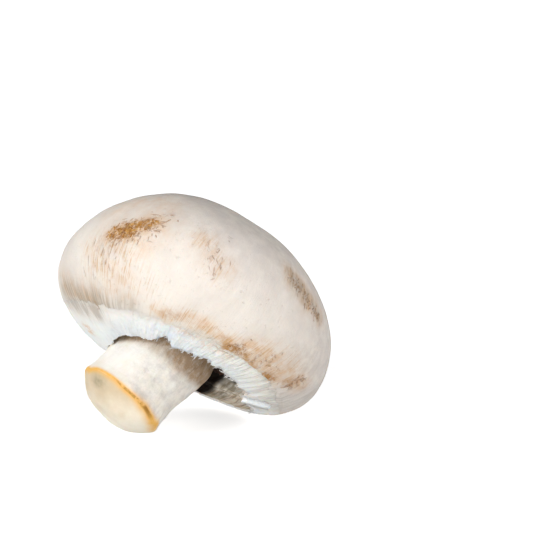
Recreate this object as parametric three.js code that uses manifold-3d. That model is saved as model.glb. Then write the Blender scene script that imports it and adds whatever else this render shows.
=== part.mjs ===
// A white button mushroom, as picked, lying on its side on a flat surface.
// It rests on the edge of its cap and on the cut end of its stem.
// Its four natural parts are the cap, the ring of gills under it, the torn veil that
// once closed the gills in, and the stem, whose flesh is separate from the cap's.
//
// The mushroom is grown in its own upright frame, in millimetres: the cap's axis is Z,
// the stem points down, and Z = 0 is the cap's widest level. Every point is described by
// its radius, its height and its bearing round the axis. The last step lays it down.

import * as THREE from "three";
import { mergeVertices } from "three/addons/utils/BufferGeometryUtils.js";
import Module from "manifold-3d";

const wasm = await Module();
wasm.setup();

const DEGREE = Math.PI / 180;

// Cap
const CAP_RADIUS = 25;
const DOME_HEIGHT = 18.5;
const UNDERSIDE_DEPTH = 12.6; // how far down the rounded underside would reach if it closed
const LIP_ANGLE = 33; // where the rolled-in margin ends, in degrees below the widest level
const LIP_SHARE = 0.13; // the margin's thickness, as a share of the underside's size
const CAP_SIDES = 60;
const DOME_STEPS = 11;
const MARGIN_STEPS = 6;

// Hollow under the cap
const SOCKET_RADIUS = 8.5; // of the place where the stem's top is set in
const SOCKET_TOP = 6.9;
const SOCKET_TAPER = 0.4;
const CEILING_POINTS = [
  [SOCKET_RADIUS, 4.6],
  [12, 4.2],
  [16, 2.9],
  [20, 0.6],
]; // [radius, height], out to the wall
const CEILING_STEPS = 4;
const WALL_SHARE = 0.85; // the hollow's wall, as a share of the cap's outside

// How this cap grew out of true: [waves round the cap, size as a share, bearing of a crest]
const WIDTH_WAVES = [
  [2, 0.016, 5],
  [3, 0.038, 58],
];
const DEPTH_WAVES = [
  [1, 0.069, 271],
  [2, 0.065, 40],
];
const LEAN_WAVES = [[1, 0.113, 348]];
const LIP_WAVES = [
  [1, 0.3, 280],
  [2, 0.12, 280],
];
const TRUE_REACH = 1.6; // the middle stays round; the waves are full from here, in socket radii

// Torn veil
const VEIL_GAP = 0.32; // between the veil's root and the margin it tore from
const VEIL_ROOT_SHARE = 0.1; // its thickness at the root, as a share of the underside's size
const VEIL_EDGE_SHARE = 0.075;
const VEIL_SAG = 0.03; // how far its torn edge dips into the hollow, as a share
const VEIL_NOSE = 0.25; // how far the torn edge is rounded out, in steps
const TEAR_RADIUS = 15.1; // the hole that the stem stands in
const TEAR_OFFSET = 5;
const TEAR_BEARING = 52;
const BITE_DEPTH = 1.1; // a wider notch in the torn edge
const BITE_BEARING = 316;
const BITE_WIDTH = 7;
const TEETH_WAVES = [
  [17, 0.18, 3],
  [29, 0.22, 11],
  [41, 0.14, 5],
];
const VEIL_SIDES = 112;
const VEIL_STEPS = 3;

// Gills
const GILL_COUNT = 36; // full-length gills; a short one stands between each two
const GILL_THICKNESS = 0.6;
const GILL_INNER = 9.9;
const GILL_OUTER = 19.9;
const SHORT_GILL_INNER = 14.2;
const GILL_EDGE_HEIGHTS = [1.4, -2.2, -2.6, -0.8]; // of a gill's free edge, from the stem outwards
const GILL_SHOULDER = 0.9; // how far from its outer end a gill is deepest
const GILL_EDGE_STEPS = 5;
const GILL_BED_GAP = 0.35; // between the gill bed and the cap's flesh
const GILL_BED_THICKNESS = 0.9;
const GILL_BED_MIDDLE = 15;
const GILL_BED_SIDES = 36;

// Stem
const STEM_TOP_HEIGHT = 6.3;
const STEM_TOP_TAPER = 0.5;
const STEM_RIM_RADIUS = 8; // at the cut
const STEM_GIRTHS = [
  [0.02, 8.12],
  [0.08, 7.85],
  [0.2, 7.65],
  [0.5, 8],
  [0.8, 7.9],
  [0.98, 7.7],
]; // [share of the way up, radius]
const STEM_FOOT = new THREE.Vector3(-0.73, -1.23, -19.19); // centre of the cut face
const STEM_FOOT_DIRECTION = new THREE.Vector3(-0.015, -0.163, -0.987).normalize();
const CUT_CROWN = 3.5; // how far the cut face bulges
const CUT_ROUNDNESS = 3; // higher is flatter in the middle and steeper at the rim
const CUT_STEPS = 5;
const STEM_BEND_AT_FOOT = 0.35; // how long the stem keeps its direction at each end, as a share
const STEM_BEND_AT_TOP = 0.45;
const SWELL = 0.15; // the stem swells on one side where it enters the veil, as a share
const SWELL_BEARING = 50;
const SWELL_AT = 0.45; // as a share of the way up
const SWELL_LENGTH = 0.25;
const STEM_SIDES = 44;
const STEM_STEPS = 10;
const STEM_WAVES = [
  [2, 0.02, 140],
  [3, 0.012, 100],
];

// How it lies: the cap's axis slopes down towards the stem, and its soft flesh is
// pressed flat where it meets the surface.
const LYING_SLOPE = 46;
const PRESS_DEPTH = 0.35;
const PRESS_BLEND = 0.15;

const COLOURS = {
  cap: { color: 0xe9e1d5, roughness: 0.62, metalness: 0 },
  veil: { color: 0xe8ebea, roughness: 0.8, metalness: 0 },
  gills: { color: 0x8a6a58, roughness: 0.85, metalness: 0 },
  stem: { color: 0xefe9dc, roughness: 0.68, metalness: 0 },
};

// Sum of the waves at a bearing in radians.
function waves(list, bearing) {
  const wave = ([count, size, crest]) => size * Math.cos(count * (bearing - crest * DEGREE));
  return list.reduce((sum, item) => sum + wave(item), 0);
}

// A point of the rounded underside: share 1 is its outside, angle is below the widest level.
function undersidePoint(angle, share) {
  return new THREE.Vector2(
    share * CAP_RADIUS * Math.cos(angle * DEGREE),
    -share * UNDERSIDE_DEPTH * Math.sin(angle * DEGREE),
  );
}

// Where the margin ends at a bearing, in degrees below the widest level.
function lipAngle(bearing) {
  return LIP_ANGLE * (1 + waves(LIP_WAVES, bearing));
}

// Bends the true round form into this mushroom's own lopsided one. The middle, where the
// stem is socketed, stays round.
function growOutOfTrue(radius, height, bearing) {
  const out = THREE.MathUtils.smoothstep(radius, SOCKET_RADIUS, TRUE_REACH * SOCKET_RADIUS);
  const wide = radius * (1 + out * waves(WIDTH_WAVES, bearing));
  const deep = height < 0 ? height * (1 + waves(DEPTH_WAVES, bearing)) : height;
  const lean = waves(LEAN_WAVES, bearing) * CAP_RADIUS * (radius / CAP_RADIUS) ** 2;
  return new THREE.Vector3(wide * Math.cos(bearing), wide * Math.sin(bearing), deep + lean);
}

// Moves each vertex with place(radius, height, bearing) and merges those that coincide.
function moved(geometry, place) {
  const position = geometry.getAttribute("position");
  for (let i = 0; i < position.count; i++) {
    const x = position.getX(i);
    const y = position.getY(i);
    const p = place(Math.hypot(x, y), position.getZ(i), Math.atan2(y, x));
    position.setXYZ(i, p.x, p.y, p.z);
  }
  geometry.deleteAttribute("normal");
  geometry.deleteAttribute("uv");
  return mergeVertices(geometry, 1e-4);
}

// A solid of revolution about Z, moved by place().
function turned(profile, sides, place) {
  const geometry = new THREE.LatheGeometry(profile, sides);
  geometry.rotateX(Math.PI / 2);
  return moved(geometry, place);
}

function solidOf(geometry) {
  return new wasm.Manifold(
    new wasm.Mesh({
      numProp: 3,
      vertProperties: geometry.attributes.position.array,
      triVerts: new Uint32Array(geometry.index.array),
    }),
  );
}

function geometryOf(solid) {
  const mesh = solid.getMesh();
  return new THREE.BufferGeometry()
    .setAttribute("position", new THREE.BufferAttribute(mesh.vertProperties, 3))
    .setIndex(new THREE.BufferAttribute(mesh.triVerts, 1));
}

// The hollow's ceiling, from the stem's socket out to the wall.
const ceiling = new THREE.SplineCurve(CEILING_POINTS.map(([r, z]) => new THREE.Vector2(r, z)));

function makeCap() {
  const profile = [
    new THREE.Vector2(0, SOCKET_TOP),
    new THREE.Vector2(SOCKET_RADIUS - SOCKET_TAPER, SOCKET_TOP),
    ...ceiling.getPoints(CEILING_STEPS),
  ];
  const lipInside = 1 - LIP_SHARE;
  const innerSteps = MARGIN_STEPS - 2;
  for (let i = 1; i <= innerSteps; i++) {
    const along = i / innerSteps;
    profile.push(undersidePoint(LIP_ANGLE * along, WALL_SHARE + (lipInside - WALL_SHARE) * along));
  }
  for (let i = MARGIN_STEPS; i > 0; i--) {
    profile.push(undersidePoint((LIP_ANGLE * i) / MARGIN_STEPS, 1));
  }
  for (let i = 0; i < DOME_STEPS; i++) {
    const rise = (i / DOME_STEPS) * (Math.PI / 2);
    profile.push(new THREE.Vector2(CAP_RADIUS * Math.cos(rise), DOME_HEIGHT * Math.sin(rise)));
  }
  profile.push(new THREE.Vector2(0, DOME_HEIGHT));
  return turned(profile, CAP_SIDES, (radius, height, bearing) => {
    if (height >= 0) return growOutOfTrue(radius, height, bearing);
    const share = Math.hypot(radius / CAP_RADIUS, height / UNDERSIDE_DEPTH);
    const angle = Math.atan2(-height / UNDERSIDE_DEPTH, radius / CAP_RADIUS) / DEGREE;
    const p = undersidePoint((angle * lipAngle(bearing)) / LIP_ANGLE, share);
    return growOutOfTrue(p.x, p.y, bearing);
  });
}

// The torn edge's radius: an off-centre hole with ragged teeth.
function tearRadius(bearing) {
  const turn = bearing - TEAR_BEARING * DEGREE;
  const aside = TEAR_OFFSET * Math.sin(turn);
  const hole = TEAR_OFFSET * Math.cos(turn) + Math.sqrt(TEAR_RADIUS ** 2 - aside ** 2);
  const fromBite = THREE.MathUtils.euclideanModulo(bearing / DEGREE - BITE_BEARING + 180, 360) - 180;
  const bite = BITE_DEPTH * Math.exp(-((fromBite / BITE_WIDTH) ** 2));
  return hole + bite + waves(TEETH_WAVES, bearing);
}

// The profile counts: its radius is one more than the steps from the root towards the torn
// edge, and its height is 0 on the inner face and 1 on the outer one.
function makeVeil() {
  const profile = [];
  for (let i = 0; i <= VEIL_STEPS; i++) {
    profile.push(new THREE.Vector2(1 + i, 0));
  }
  profile.push(new THREE.Vector2(1 + VEIL_STEPS + VEIL_NOSE, 0.5));
  for (let i = VEIL_STEPS; i >= 0; i--) {
    profile.push(new THREE.Vector2(1 + i, 1));
  }
  profile.push(new THREE.Vector2(1, 0));
  return turned(profile, VEIL_SIDES, (radius, face, bearing) => {
    const along = (radius - 1) / (VEIL_STEPS + VEIL_NOSE);
    const lip = lipAngle(bearing);
    const lipPoint = undersidePoint(lip, 1);
    const perDegree = undersidePoint(lip + 1, 1).distanceTo(lipPoint);
    const rootAngle = lip + VEIL_GAP / perDegree;
    const width = 1 + waves(WIDTH_WAVES, bearing);
    const edgeAngle = Math.acos(tearRadius(bearing) / width / CAP_RADIUS) / DEGREE;
    const thickness = VEIL_ROOT_SHARE + (VEIL_EDGE_SHARE - VEIL_ROOT_SHARE) * along;
    const share = 1 - VEIL_SAG * along ** 2 - (1 - face) * thickness;
    const p = undersidePoint(rootAngle + (edgeAngle - rootAngle) * along, share);
    return growOutOfTrue(p.x, p.y, bearing);
  });
}

// Height of the ceiling at a radius, read off its curve.
function ceilingHeight(radius) {
  const points = ceiling.getPoints(10 * CEILING_STEPS);
  const after = points.findIndex((p) => p.x >= radius);
  const b = points[Math.max(after, 1)];
  const a = points[Math.max(after, 1) - 1];
  return a.y + ((b.y - a.y) * (radius - a.x)) / (b.x - a.x);
}

// One gill standing on edge at bearing 0, from an inner to an outer radius.
function gillBlade(inner, outer) {
  const middle = (inner + outer) / 2;
  const radii = [inner, middle, outer - GILL_SHOULDER, outer];
  const freeEdge = new THREE.SplineCurve(radii.map((r, i) => new THREE.Vector2(r, GILL_EDGE_HEIGHTS[i])));
  const sunk = GILL_BED_GAP + GILL_BED_THICKNESS / 2; // its top is buried in the bed
  const top = [outer, middle, inner].map((r) => new THREE.Vector2(r, ceilingHeight(r) - sunk));
  const outline = new THREE.Shape([...freeEdge.getPoints(GILL_EDGE_STEPS), ...top]);
  const geometry = new THREE.ExtrudeGeometry(outline, { depth: GILL_THICKNESS, bevelEnabled: false });
  geometry.translate(0, 0, -GILL_THICKNESS / 2);
  return geometry.rotateX(Math.PI / 2);
}

function makeGills() {
  const radii = [GILL_INNER, GILL_BED_MIDDLE, GILL_OUTER];
  const bedTop = radii.map((r) => new THREE.Vector2(r, ceilingHeight(r) - GILL_BED_GAP));
  const bedBottom = bedTop.map((p) => new THREE.Vector2(p.x, p.y - GILL_BED_THICKNESS));
  const profile = [...bedBottom, ...bedTop.reverse(), bedBottom[0]];
  const solids = [solidOf(turned(profile, GILL_BED_SIDES, growOutOfTrue))];
  for (let i = 0; i < 2 * GILL_COUNT; i++) {
    const blade = gillBlade(i % 2 ? SHORT_GILL_INNER : GILL_INNER, GILL_OUTER);
    blade.rotateZ(((i + 0.5) / GILL_COUNT) * Math.PI);
    solids.push(solidOf(moved(blade, growOutOfTrue)));
  }
  return geometryOf(wasm.Manifold.union(solids));
}

// The stem's centreline, from its foot up into the cap's socket.
const stemTop = new THREE.Vector3(0, 0, STEM_TOP_HEIGHT);
const stemReach = STEM_FOOT.distanceTo(stemTop);
const stemLine = new THREE.CubicBezierCurve3(
  STEM_FOOT,
  STEM_FOOT.clone().addScaledVector(STEM_FOOT_DIRECTION, -STEM_BEND_AT_FOOT * stemReach),
  stemTop.clone().add(new THREE.Vector3(0, 0, -STEM_BEND_AT_TOP * stemReach)),
  stemTop,
);

function makeStem() {
  const profile = [];
  for (let i = 0; i <= CUT_STEPS; i++) {
    const out = i / CUT_STEPS;
    profile.push(new THREE.Vector2(STEM_RIM_RADIUS * out, -CUT_CROWN * (1 - out ** CUT_ROUNDNESS)));
  }
  const side = new THREE.SplineCurve(STEM_GIRTHS.map(([up, r]) => new THREE.Vector2(r, up * stemReach)));
  profile.push(...side.getPoints(STEM_STEPS));
  profile.push(new THREE.Vector2(STEM_GIRTHS.at(-1)[1] - STEM_TOP_TAPER, stemReach));
  profile.push(new THREE.Vector2(0, stemReach));
  return turned(profile, STEM_SIDES, (radius, station, bearing) => {
    const t = THREE.MathUtils.clamp(station / stemReach, 0, 1);
    const centre = stemLine.getPointAt(t);
    const along = stemLine.getTangentAt(t);
    const across = new THREE.Vector3(1, 0, 0).projectOnPlane(along).normalize();
    const other = new THREE.Vector3().crossVectors(along, across);
    const facing = Math.max(Math.cos(bearing - SWELL_BEARING * DEGREE), 0) ** 2;
    const swell = SWELL * facing * Math.exp(-(((t - SWELL_AT) / SWELL_LENGTH) ** 2));
    const r = radius * (1 + waves(STEM_WAVES, bearing) * (1 - t) + swell);
    centre.addScaledVector(across, r * Math.cos(bearing));
    centre.addScaledVector(other, r * Math.sin(bearing));
    return centre.addScaledVector(along, Math.min(station, 0));
  });
}

function pressedHeight(height) {
  if (height >= PRESS_BLEND) return height;
  if (height <= -PRESS_BLEND) return 0;
  return (height + PRESS_BLEND) ** 2 / (4 * PRESS_BLEND);
}

// Lays the upright parts down, and presses flat what would reach below the surface.
const layDown = new THREE.Matrix4().makeRotationX((LYING_SLOPE - 90) * DEGREE);
const made = { cap: makeCap(), veil: makeVeil(), gills: makeGills(), stem: makeStem() };
for (const geometry of Object.values(made)) {
  geometry.applyMatrix4(layDown);
}
made.cap.computeBoundingBox();
const surfaceHeight = made.cap.boundingBox.min.z + PRESS_DEPTH;

const mushroom = new THREE.Group();
for (const [name, geometry] of Object.entries(made)) {
  const position = geometry.getAttribute("position");
  for (let i = 0; i < position.count; i++) {
    position.setZ(i, pressedHeight(position.getZ(i) - surfaceHeight));
  }
  geometry.computeVertexNormals();
  const mesh = new THREE.Mesh(geometry, new THREE.MeshStandardMaterial(COLOURS[name]));
  mesh.name = name;
  mushroom.add(mesh);
}

// The origin is on the surface, under the middle of the mushroom.
const middle = new THREE.Box3().setFromObject(mushroom).getCenter(new THREE.Vector3());
mushroom.position.set(-middle.x, -middle.y, 0);

export default mushroom;
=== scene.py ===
import math
import bpy
import numpy as np
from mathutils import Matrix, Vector


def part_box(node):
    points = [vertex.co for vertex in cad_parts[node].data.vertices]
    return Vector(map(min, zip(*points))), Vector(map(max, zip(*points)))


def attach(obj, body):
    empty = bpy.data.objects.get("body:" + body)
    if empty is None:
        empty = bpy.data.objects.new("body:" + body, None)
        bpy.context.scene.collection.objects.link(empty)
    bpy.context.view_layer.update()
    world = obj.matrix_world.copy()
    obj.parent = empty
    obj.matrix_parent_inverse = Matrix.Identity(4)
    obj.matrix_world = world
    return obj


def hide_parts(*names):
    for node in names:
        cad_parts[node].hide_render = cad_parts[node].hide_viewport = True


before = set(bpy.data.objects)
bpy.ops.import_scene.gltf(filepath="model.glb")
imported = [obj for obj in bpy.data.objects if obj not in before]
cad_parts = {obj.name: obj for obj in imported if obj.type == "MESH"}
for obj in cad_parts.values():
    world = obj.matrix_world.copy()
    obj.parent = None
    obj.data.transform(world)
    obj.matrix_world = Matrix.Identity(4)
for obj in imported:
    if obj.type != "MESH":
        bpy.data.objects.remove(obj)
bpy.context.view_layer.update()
millimetre = 0.001

# The mushroom grows upright, in millimetres: its cap's axis is Z, and Z is 0 at the cap's widest level.
# A direction on the cap is (degrees down from the crown, bearing round the axis).
form = {
    "capRadius": 25.0,
    "domeHeight": 18.5,
    "undersideDepth": 12.6,
    "lipAngle": 33.0,  # where the skin ends, in degrees below the widest level
    "widthWaves": [(2, 0.016, 5), (3, 0.038, 58)],  # waves round the cap, share, bearing of a crest
    "depthWaves": [(1, 0.069, 271), (2, 0.065, 40)],
    "leanWaves": [(1, 0.113, 348)],
    "lipWaves": [(1, 0.3, 280), (2, 0.12, 280)],
    "socketRadius": 8.5,
    "slope": 46,  # of the axis, as it lies
    "pressDepth": 0.35,  # how much the soft flesh is pressed flat on the surface
    "pressBlend": 0.15,
    "pressedLayers": 0.02,  # keeps pressed surfaces apart, as a share of their depth
}


def smooth(value, start, end):
    t = np.clip((value - start) / (end - start), 0, 1)
    return t * t * (3 - 2 * t)


def blend(a, b, share):
    return a + (b - a) * share


def waves(items, bearing):
    return sum(size * np.cos(count * (bearing - math.radians(crest))) for count, size, crest in items)


def facing(bearing, middle):  # 1 towards a bearing, -1 away from it
    return np.cos(bearing - math.radians(middle))


def fromBearing(bearing, middle):  # degrees to either side of a bearing
    return (np.degrees(bearing) - middle + 180) % 360 - 180


def hill(distance):  # 1 at 0, near 0 from 2 on
    return np.exp(-(distance**2))


def unit(vectors):
    return vectors / np.maximum(np.linalg.norm(vectors, axis=-1, keepdims=True), 1e-9)


def allRound(columns):
    return np.arange(columns) * 2 * math.pi / columns


def cornerValue(cell, seed):  # -1 to 1, the same in every run
    value = np.bitwise_xor.reduce(cell * (73856093, 19349663, 83492791), -1) ^ (seed * 2654435)
    value = (value ^ (value >> 13)) * 1274126177
    value = value ^ (value >> 16)
    return (value & 65535) / 32767.5 - 1


def cloud(points, size, seed=0, octaves=1):  # smooth random values, mostly within -1 and 1
    total = np.zeros(points.shape[:-1])
    for octave in range(octaves):
        scaled = points / (size / 2**octave) + 7.3 * octave
        cell = np.floor(scaled).astype(np.int64)
        f = scaled - cell
        f = f * f * (3 - 2 * f)
        for corner in np.ndindex(2, 2, 2):
            weight = np.where(corner, f, 1 - f)
            value = cornerValue(cell + corner, seed + octave)
            total += weight[..., 0] * weight[..., 1] * weight[..., 2] * value / 2**octave
    return total


def grain(bearing, along, radius=25.0):  # round the axis and along the growth, both in mm
    along = np.broadcast_to(along, bearing.shape)
    return np.stack([radius * np.cos(bearing), radius * np.sin(bearing), along], -1)


def upright(radius, height, bearing):  # bends the true round form into this lopsided one
    out = smooth(radius, form["socketRadius"], 1.6 * form["socketRadius"])
    wide = radius * (1 + out * waves(form["widthWaves"], bearing))
    deep = np.where(height < 0, height * (1 + waves(form["depthWaves"], bearing)), height)
    lean = waves(form["leanWaves"], bearing) * form["capRadius"] * (radius / form["capRadius"]) ** 2
    return np.stack([wide * np.cos(bearing), wide * np.sin(bearing), deep + lean], -1)


def underside(angle, share):
    turn = np.radians(angle)
    radius = share * form["capRadius"] * np.cos(turn)
    return radius, -share * form["undersideDepth"] * np.sin(turn)


def lipAngle(bearing):
    return form["lipAngle"] * (1 + waves(form["lipWaves"], bearing))


def onCap(down, bearing):  # points of the cap's outside
    turn, around = np.radians(down), np.radians(bearing)
    depth = np.where(np.asarray(down) < 90, form["domeHeight"], form["undersideDepth"])
    return upright(form["capRadius"] * np.sin(turn), depth * np.cos(turn), around)


def turnedOver(points):  # from upright to lying, before it is set down
    turn = math.radians(form["slope"] - 90)
    y = math.cos(turn) * points[..., 1] - math.sin(turn) * points[..., 2]
    z = math.sin(turn) * points[..., 1] + math.cos(turn) * points[..., 2]
    return np.stack([points[..., 0], y, z], -1)


def plainCap():
    bearing = np.linspace(0, 2 * math.pi, 721)[None, :]
    rise = np.radians(np.linspace(0, 90, 91))[:, None]
    low = np.linspace(0, 1, 31)[:, None] * lipAngle(bearing)
    dome = upright(form["capRadius"] * np.cos(rise), form["domeHeight"] * np.sin(rise), bearing)
    return turnedOver(np.concatenate([upright(*underside(low, 1), bearing), dome]))


plain = plainCap().reshape(-1, 3)
surfaceHeight = plain[:, 2].min() + form["pressDepth"]
capLow, capHigh = (np.array(corner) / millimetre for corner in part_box("cap"))
sideways = (capLow + capHigh)[:2] / 2 - (plain.min(0) + plain.max(0))[:2] / 2


def lying(points):  # upright millimetres to metres in the row frame
    laid = turnedOver(points)
    height = laid[..., 2] - surfaceHeight
    blendHeight = form["pressBlend"]
    soft = (np.clip(height, -blendHeight, blendHeight) + blendHeight) ** 2 / (4 * blendHeight)
    layers = form["pressedLayers"] * np.minimum(height + blendHeight, 0)
    height = np.where(height >= blendHeight, height, soft + layers)
    return np.stack([laid[..., 0] + sideways[0], laid[..., 1] + sideways[1], height], -1) * millimetre


def gridNormals(points, row):  # of rows that run round the axis, outwards at the given row
    around = np.roll(points, -1, 1) - np.roll(points, 1, 1)
    normal = unit(np.cross(around, np.gradient(points, axis=0)))
    outwards = points[row, 0] - points[row].mean(0)
    return normal if normal[row, 0] @ outwards > 0 else -normal


def gridFaces(rows, columns, first, closeRows):
    faces = []
    for i in range(rows if closeRows else rows - 1):
        a = first + i * columns
        b = first + ((i + 1) % rows) * columns
        for j in range(columns):
            k = (j + 1) % columns
            faces.append((a + j, a + k, b + k, b + j))
    return faces


def placed(name, data):
    thing = bpy.data.objects.new(name, data)
    bpy.context.scene.collection.objects.link(thing)
    return thing


def makePiece(name, points, faces, fields, look, node):
    corners = lying(points)
    fan = [(f[0], f[i], f[i + 1]) for f in faces for i in range(1, len(f) - 1)]
    a, b, c = (corners[[t[i] for t in fan]] for i in range(3))
    total = float(np.einsum("ij,ij->i", a, np.cross(b, c)).sum())
    if total < 0:  # the faces should look outwards
        faces = [tuple(reversed(f)) for f in faces]
    mesh = bpy.data.meshes.new(name)
    mesh.from_pydata(corners.tolist(), [], faces)
    mesh.polygons.foreach_set("use_smooth", [True] * len(faces))
    for field, values in fields.items():
        wide = values.ndim == 2
        attribute = mesh.attributes.new(field, "FLOAT_VECTOR" if wide else "FLOAT", "POINT")
        attribute.data.foreach_set("vector" if wide else "value", values.astype(np.float32).ravel())
    mesh.materials.append(look)
    mesh.update()
    piece = placed(name, mesh)
    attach(piece, "root")
    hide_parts(node)
    print(f"{name}: {len(faces)} faces, {len(fan)} triangles")


def flattened(fields):
    return {name: v.reshape((-1, 3) if v.ndim == 3 else -1) for name, v in fields.items()}


def ringPiece(name, points, fields, look, node, poles=(), loose=None):
    rows, columns = points.shape[:2]
    flat = points.reshape(-1, 3)
    faces = gridFaces(rows, columns, 0, closeRows=not poles)
    flatFields = flattened(fields)
    if poles:
        count = len(flat)
        flat = np.concatenate([flat, np.array(poles)])
        last = (rows - 1) * columns
        for j in range(columns):
            k = (j + 1) % columns
            faces.append((count, k, j))
            faces.append((count + 1, last + j, last + k))
        for field, values in fields.items():
            ends = np.stack([values[0].mean(0), values[-1].mean(0)])
            flatFields[field] = np.concatenate([flatFields[field], ends])
    if loose:  # fibres that stand on this piece
        extra, extraFaces, extraFields = loose
        faces += [tuple(corner + len(flat) for corner in face) for face in extraFaces]
        flat = np.concatenate([flat, extra])
        for field in flatFields:
            flatFields[field] = np.concatenate([flatFields[field], extraFields[field]])
    makePiece(name, flat, faces, flatFields, look, node)


def tripled(fields):  # one value a ring of a fibre, to one a corner
    return {name: np.repeat(v, 3, axis=0) for name, v in flattened(fields).items()}


def fibres(path, normal, halfWidth, sunk, raised):  # closed three-sided slivers along many short paths
    count, steps = path.shape[:2]
    side = unit(np.cross(normal, np.gradient(path, axis=1)))
    low = path - normal * sunk[..., None]
    left, right = low - side * halfWidth[..., None], low + side * halfWidth[..., None]
    corners = np.stack([left, right, path + normal * raised[..., None]], 2)
    faces = []
    for i in range(count):
        first = 3 * steps * i
        last = first + 3 * (steps - 1)
        faces += gridFaces(steps, 3, first, closeRows=False)
        faces += [(first + 2, first + 1, first), (last, last + 1, last + 2)]
    return corners.reshape(-1, 3), faces


def fromHex(text):  # a colour as it looks on screen, to the light values that shaders use
    parts = [int(text[i:i + 2], 16) / 255 for i in (0, 2, 4)]
    return tuple(p / 12.92 if p <= 0.04045 else ((p + 0.055) / 1.055) ** 2.4 for p in parts)


def maths(how, reflected=False):  # an operator between a wire and another value
    def apply(self, other):
        pair = (other, self) if reflected else (self, other)
        wide = any(getattr(x, "wide", False) or isinstance(x, tuple) for x in pair)
        kind = "ShaderNodeVectorMath" if wide else "ShaderNodeMath"
        return self.look.add(kind, {"operation": how}, dict(enumerate(pair)))
    return apply


class Wire:  # one output of a shader node, so that maths reads as expressions
    def __init__(self, look, socket):
        self.look = look
        self.socket = socket
        self.wide = socket.type in ("VECTOR", "RGBA")

    __add__, __radd__ = maths("ADD"), maths("ADD", reflected=True)
    __sub__, __rsub__ = maths("SUBTRACT"), maths("SUBTRACT", reflected=True)
    __mul__, __rmul__ = maths("MULTIPLY"), maths("MULTIPLY", reflected=True)
    upTo = maths("MINIMUM")

    def above(self, start, end):  # 0 at start, 1 at end, smooth between
        sockets = {"Value": self, "From Min": start, "From Max": end}
        return self.look.add("ShaderNodeMapRange", {"interpolation_type": "SMOOTHSTEP"}, sockets)

    def to(self, colour, share):
        return self.look.mix(self, colour, share)

    def noise(self, scale, detail, roughness, twist=0.0):
        sockets = {"Vector": self, "Scale": scale, "Detail": detail, "Roughness": roughness}
        return self.look.add("ShaderNodeTexNoise", {}, sockets | {"Distortion": twist}, "Fac")

    def threads(self, across, along, detail, roughness, twist=0.0):  # noise drawn out along the growth
        return (self * (across, across, along)).noise(1.0, detail, roughness, twist)


class Look:  # one material; a colour is given by its name in the piece's settings
    def __init__(self, name, settings):
        self.settings = settings
        self.material = bpy.data.materials.new(name)
        self.material.use_nodes = True
        self.tree = self.material.node_tree
        self.tree.nodes.clear()
        self.surface = self.tree.nodes.new("ShaderNodeBsdfPrincipled")
        output = self.tree.nodes.new("ShaderNodeOutputMaterial")
        self.tree.links.new(self.surface.outputs["BSDF"], output.inputs["Surface"])
        self.set("Roughness", settings["roughness"])
        self.set("Subsurface Weight", settings["softness"])
        self.set("Subsurface Radius", (1.0, 0.62, 0.4))
        self.set("Subsurface Scale", settings["softReach"] * millimetre)
        self.set("Specular IOR Level", 0.35)

    def set(self, name, value):
        self.plug(self.surface.inputs[name], value)

    def plug(self, socket, value):
        if isinstance(value, str):
            value = fromHex(self.settings[value])
        if isinstance(value, Wire):
            self.tree.links.new(value.socket, socket)
        elif isinstance(value, tuple) and socket.type == "RGBA":
            socket.default_value = (*value, 1.0)
        elif not isinstance(value, tuple) and socket.type == "VECTOR":
            socket.default_value = (value, value, value)
        else:
            socket.default_value = value

    def add(self, kind, settings, sockets, output=0):
        node = self.tree.nodes.new(kind)
        for name, value in settings.items():
            setattr(node, name, value)
        for name, value in sockets.items():
            same = [s for s in node.inputs if s.name == name and s.enabled] or [node.inputs[name]]
            self.plug(same[0], value)
        found = [s for s in node.outputs if s.name == output and s.enabled] or [node.outputs[output]]
        return Wire(self, found[0])

    def field(self, name, wide=False):
        return self.add("ShaderNodeAttribute", {"attribute_name": name}, {}, "Vector" if wide else "Fac")

    def fields(self, *names):
        return [self.field(name) for name in names]

    def places(self):  # upright position, and the same along the growth
        return self.field("upright", wide=True), self.field("grain", wide=True)

    def mix(self, first, second, share):
        sockets = {"Factor": share, "A": first, "B": second}
        return self.add("ShaderNodeMix", {"data_type": "RGBA"}, sockets, "Result")

    # painted light: the surface glows in the given colour, standing in for light that reaches it
    def glow(self, colour, share):
        self.set("Emission Color", colour * share)
        self.set("Emission Strength", self.settings["innerGlow"])

    def finish(self, colour, rougher, height):
        self.set("Base Color", colour)
        self.set("Roughness", self.settings["roughness"] + rougher)
        depth, strength = self.settings["bump"]
        sockets = {"Height": height, "Distance": depth * millimetre, "Strength": strength}
        self.set("Normal", self.add("ShaderNodeBump", {}, sockets, "Normal"))
        return self.material


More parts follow.
